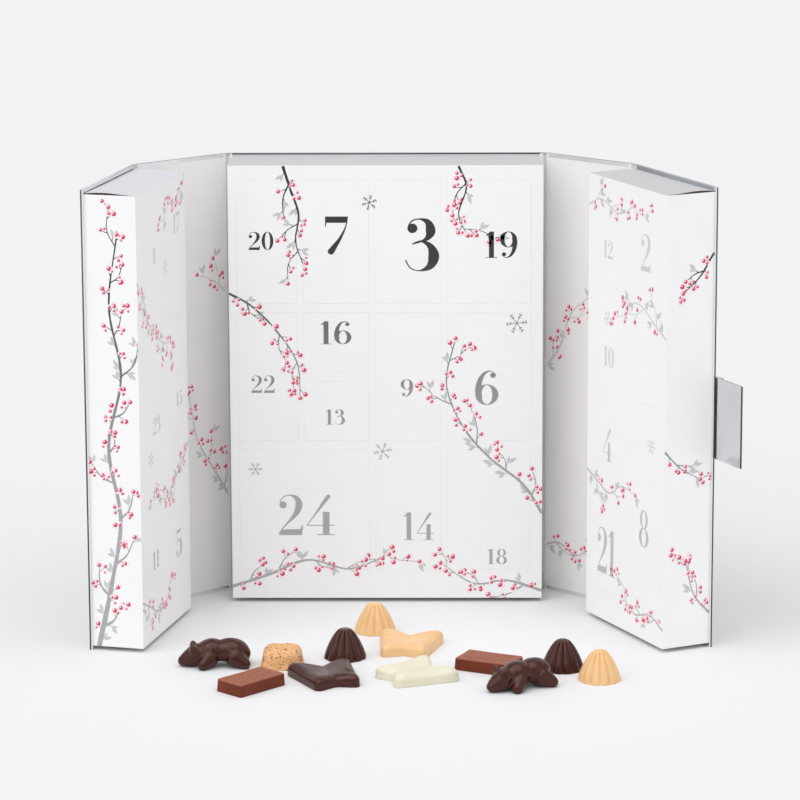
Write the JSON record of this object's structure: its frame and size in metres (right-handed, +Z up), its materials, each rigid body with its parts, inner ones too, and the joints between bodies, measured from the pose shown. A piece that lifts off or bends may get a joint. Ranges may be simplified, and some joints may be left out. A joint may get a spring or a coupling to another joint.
{
  "type": "chocolate advent calendar",
  "caption": "Advent calendar in a foil covered folding case with numbered cartons of little doors and chocolates set out in front",
  "frame": {"origin": "middle of the bottom edge of the back panel's outer face, on the floor", "axes": "X to the viewer's right along the back panel, Y away from the viewer square to the back panel, Z up"},
  "size_m": [0.4108, 0.2541, 0.296],
  "materials": {
    "grey_board": "matt",
    "silver_foil": "reflective",
    "liner_paper": "matt",
    "carton_board": "satin",
    "tray_film": "clear",
    "milk_chocolate": "satin",
    "dark_chocolate": "gloss",
    "caramel_chocolate": "satin",
    "white_chocolate": "satin",
    "magnet": "plated",
    "keeper_steel": "plain"
  },
  "bodies": {
    "case_back": {"back_board": "grey_board", "back_foil": "silver_foil", "back_liner": "liner_paper", "center_carton": "carton_board", "center_end_flaps": "carton_board", "center_pocket_tray": "tray_film", "center_chocolates": "milk_chocolate", "dark_chocolates": "dark_chocolate", "milk_chocolates": "milk_chocolate", "caramel_chocolates": "caramel_chocolate", "white_chocolates": "white_chocolate"},
    "left_spine": {"left_spine_board": "grey_board", "left_spine_foil": "silver_foil", "left_spine_liner": "liner_paper"},
    "left_cover": {"left_cover_board": "grey_board", "left_cover_foil": "silver_foil", "left_cover_liner": "liner_paper", "left_carton": "carton_board", "left_end_flaps": "carton_board", "left_pocket_tray": "tray_film", "left_chocolates": "dark_chocolate", "left_cover_keepers": "keeper_steel"},
    "right_spine": {"right_spine_board": "grey_board", "right_spine_foil": "silver_foil", "right_spine_liner": "liner_paper"},
    "right_cover": {"right_cover_board": "grey_board", "right_cover_foil": "silver_foil", "right_cover_liner": "liner_paper", "right_carton": "carton_board", "right_end_flaps": "carton_board", "right_pocket_tray": "tray_film", "right_chocolates": "milk_chocolate", "tab_anchor": "silver_foil"},
    "closing_tab": {"closing_tab_board": "grey_board", "closing_tab_foil": "silver_foil", "closing_tab_magnets": "magnet"},
    "door_20": {"door_20": "carton_board"},
    "door_07": {"door_07": "carton_board"},
    "door_03": {"door_03": "carton_board"},
    "door_19": {"door_19": "carton_board"},
    "door_22": {"door_22": "carton_board"},
    "door_16": {"door_16": "carton_board"},
    "door_13": {"door_13": "carton_board"},
    "door_09": {"door_09": "carton_board"},
    "door_06": {"door_06": "carton_board"},
    "door_24": {"door_24": "carton_board"},
    "door_14": {"door_14": "carton_board"},
    "door_18": {"door_18": "carton_board"},
    "door_01": {"door_01": "carton_board"},
    "door_17": {"door_17": "carton_board"},
    "door_23": {"door_23": "carton_board"},
    "door_15": {"door_15": "carton_board"},
    "door_11": {"door_11": "carton_board"},
    "door_05": {"door_05": "carton_board"},
    "door_02": {"door_02": "carton_board"},
    "door_08": {"door_08": "carton_board"},
    "door_12": {"door_12": "carton_board"},
    "door_10": {"door_10": "carton_board"},
    "door_04": {"door_04": "carton_board"},
    "door_21": {"door_21": "carton_board"}
  },
  "joints": [
    {"name": "left_spine_fold", "type": "hinge", "parent": "case_back", "child": "left_spine", "pos_m": [-0.105, 0, 0.148], "axis": [0, 0, -1], "range_deg": [-50.54, 39.46]},
    {"name": "left_cover_fold", "type": "hinge", "parent": "left_spine", "child": "left_cover", "pos_m": [-0.1629, -0.04766, 0.148], "axis": [0, 0, -1], "range_deg": [-53.05, 36.95]},
    {"name": "right_spine_fold", "type": "hinge", "parent": "case_back", "child": "right_spine", "pos_m": [0.105, 0, 0.148], "axis": [0, 0, 1], "range_deg": [-49.24, 40.76]},
    {"name": "right_cover_fold", "type": "hinge", "parent": "right_spine", "child": "right_cover", "pos_m": [0.16181, -0.04897, 0.148], "axis": [0, 0, 1], "range_deg": [-67.16, 22.84]},
    {"name": "closing_tab_fold", "type": "hinge", "parent": "right_cover", "child": "closing_tab", "pos_m": [0.20975, -0.14183, 0.14918], "axis": [0, 0, 1], "range_deg": [0, 100]},
    {"name": "door_20_hinge", "type": "hinge", "parent": "case_back", "child": "door_20", "pos_m": [-0.09696, -0.0356, 0.24299], "axis": [0, 0, -1], "range_deg": [0, 110]},
    {"name": "door_07_hinge", "type": "hinge", "parent": "case_back", "child": "door_07", "pos_m": [-0.05391, -0.0356, 0.24299], "axis": [0, 0, -1], "range_deg": [0, 110]},
    {"name": "door_03_hinge", "type": "hinge", "parent": "case_back", "child": "door_03", "pos_m": [-0.00697, -0.0356, 0.24299], "axis": [0, 0, -1], "range_deg": [0, 110]},
    {"name": "door_19_hinge", "type": "hinge", "parent": "case_back", "child": "door_19", "pos_m": [0.03997, -0.0356, 0.24299], "axis": [0, 0, -1], "range_deg": [0, 110]},
    {"name": "door_22_hinge", "type": "hinge", "parent": "case_back", "child": "door_22", "pos_m": [-0.09696, -0.0356, 0.15294], "axis": [0, 0, -1], "range_deg": [0, 110]},
    {"name": "door_16_hinge", "type": "hinge", "parent": "case_back", "child": "door_16", "pos_m": [-0.05391, -0.0356, 0.17603], "axis": [0, 0, -1], "range_deg": [0, 110]},
    {"name": "door_13_hinge", "type": "hinge", "parent": "case_back", "child": "door_13", "pos_m": [-0.05391, -0.0356, 0.12999], "axis": [0, 0, -1], "range_deg": [0, 110]},
    {"name": "door_09_hinge", "type": "hinge", "parent": "case_back", "child": "door_09", "pos_m": [-0.00697, -0.0356, 0.15294], "axis": [0, 0, -1], "range_deg": [0, 110]},
    {"name": "door_06_hinge", "type": "hinge", "parent": "case_back", "child": "door_06", "pos_m": [0.03997, -0.0356, 0.15294], "axis": [0, 0, -1], "range_deg": [0, 110]},
    {"name": "door_24_hinge", "type": "hinge", "parent": "case_back", "child": "door_24", "pos_m": [-0.09696, -0.0356, 0.06288], "axis": [0, 0, -1], "range_deg": [0, 110]},
    {"name": "door_14_hinge", "type": "hinge", "parent": "case_back", "child": "door_14", "pos_m": [-0.00697, -0.0356, 0.06288], "axis": [0, 0, -1], "range_deg": [0, 110]},
    {"name": "door_18_hinge", "type": "hinge", "parent": "case_back", "child": "door_18", "pos_m": [0.03997, -0.0356, 0.06288], "axis": [0, 0, -1], "range_deg": [0, 110]},
    {"name": "door_01_hinge", "type": "hinge", "parent": "left_cover", "child": "door_01", "pos_m": [-0.1512, -0.15074, 0.24299], "axis": [0, 0, -1], "range_deg": [0, 110]},
    {"name": "door_17_hinge", "type": "hinge", "parent": "left_cover", "child": "door_17", "pos_m": [-0.13992, -0.10411, 0.24299], "axis": [0, 0, -1], "range_deg": [0, 110]},
    {"name": "door_23_hinge", "type": "hinge", "parent": "left_cover", "child": "door_23", "pos_m": [-0.1512, -0.15074, 0.15294], "axis": [0, 0, -1], "range_deg": [0, 110]},
    {"name": "door_15_hinge", "type": "hinge", "parent": "left_cover", "child": "door_15", "pos_m": [-0.13992, -0.10411, 0.15294], "axis": [0, 0, -1], "range_deg": [0, 110]},
    {"name": "door_11_hinge", "type": "hinge", "parent": "left_cover", "child": "door_11", "pos_m": [-0.1512, -0.15074, 0.06288], "axis": [0, 0, -1], "range_deg": [0, 110]},
    {"name": "door_05_hinge", "type": "hinge", "parent": "left_cover", "child": "door_05", "pos_m": [-0.13992, -0.10411, 0.06288], "axis": [0, 0, -1], "range_deg": [0, 110]},
    {"name": "door_02_hinge", "type": "hinge", "parent": "right_cover", "child": "door_02", "pos_m": [0.15506, -0.11543, 0.22004], "axis": [0, 0, -1], "range_deg": [0, 110]},
    {"name": "door_08_hinge", "type": "hinge", "parent": "right_cover", "child": "door_08", "pos_m": [0.15506, -0.11543, 0.08598], "axis": [0, 0, -1], "range_deg": [0, 110]},
    {"name": "door_12_hinge", "type": "hinge", "parent": "right_cover", "child": "door_12", "pos_m": [0.13373, -0.07246, 0.25345], "axis": [0, 0, -1], "range_deg": [0, 110]},
    {"name": "door_10_hinge", "type": "hinge", "parent": "right_cover", "child": "door_10", "pos_m": [0.13373, -0.07246, 0.18649], "axis": [0, 0, -1], "range_deg": [0, 110]},
    {"name": "door_04_hinge", "type": "hinge", "parent": "right_cover", "child": "door_04", "pos_m": [0.13373, -0.07246, 0.11953], "axis": [0, 0, -1], "range_deg": [0, 110]},
    {"name": "door_21_hinge", "type": "hinge", "parent": "right_cover", "child": "door_21", "pos_m": [0.13373, -0.07246, 0.05243], "axis": [0, 0, -1], "range_deg": [0, 110]}
  ]
}
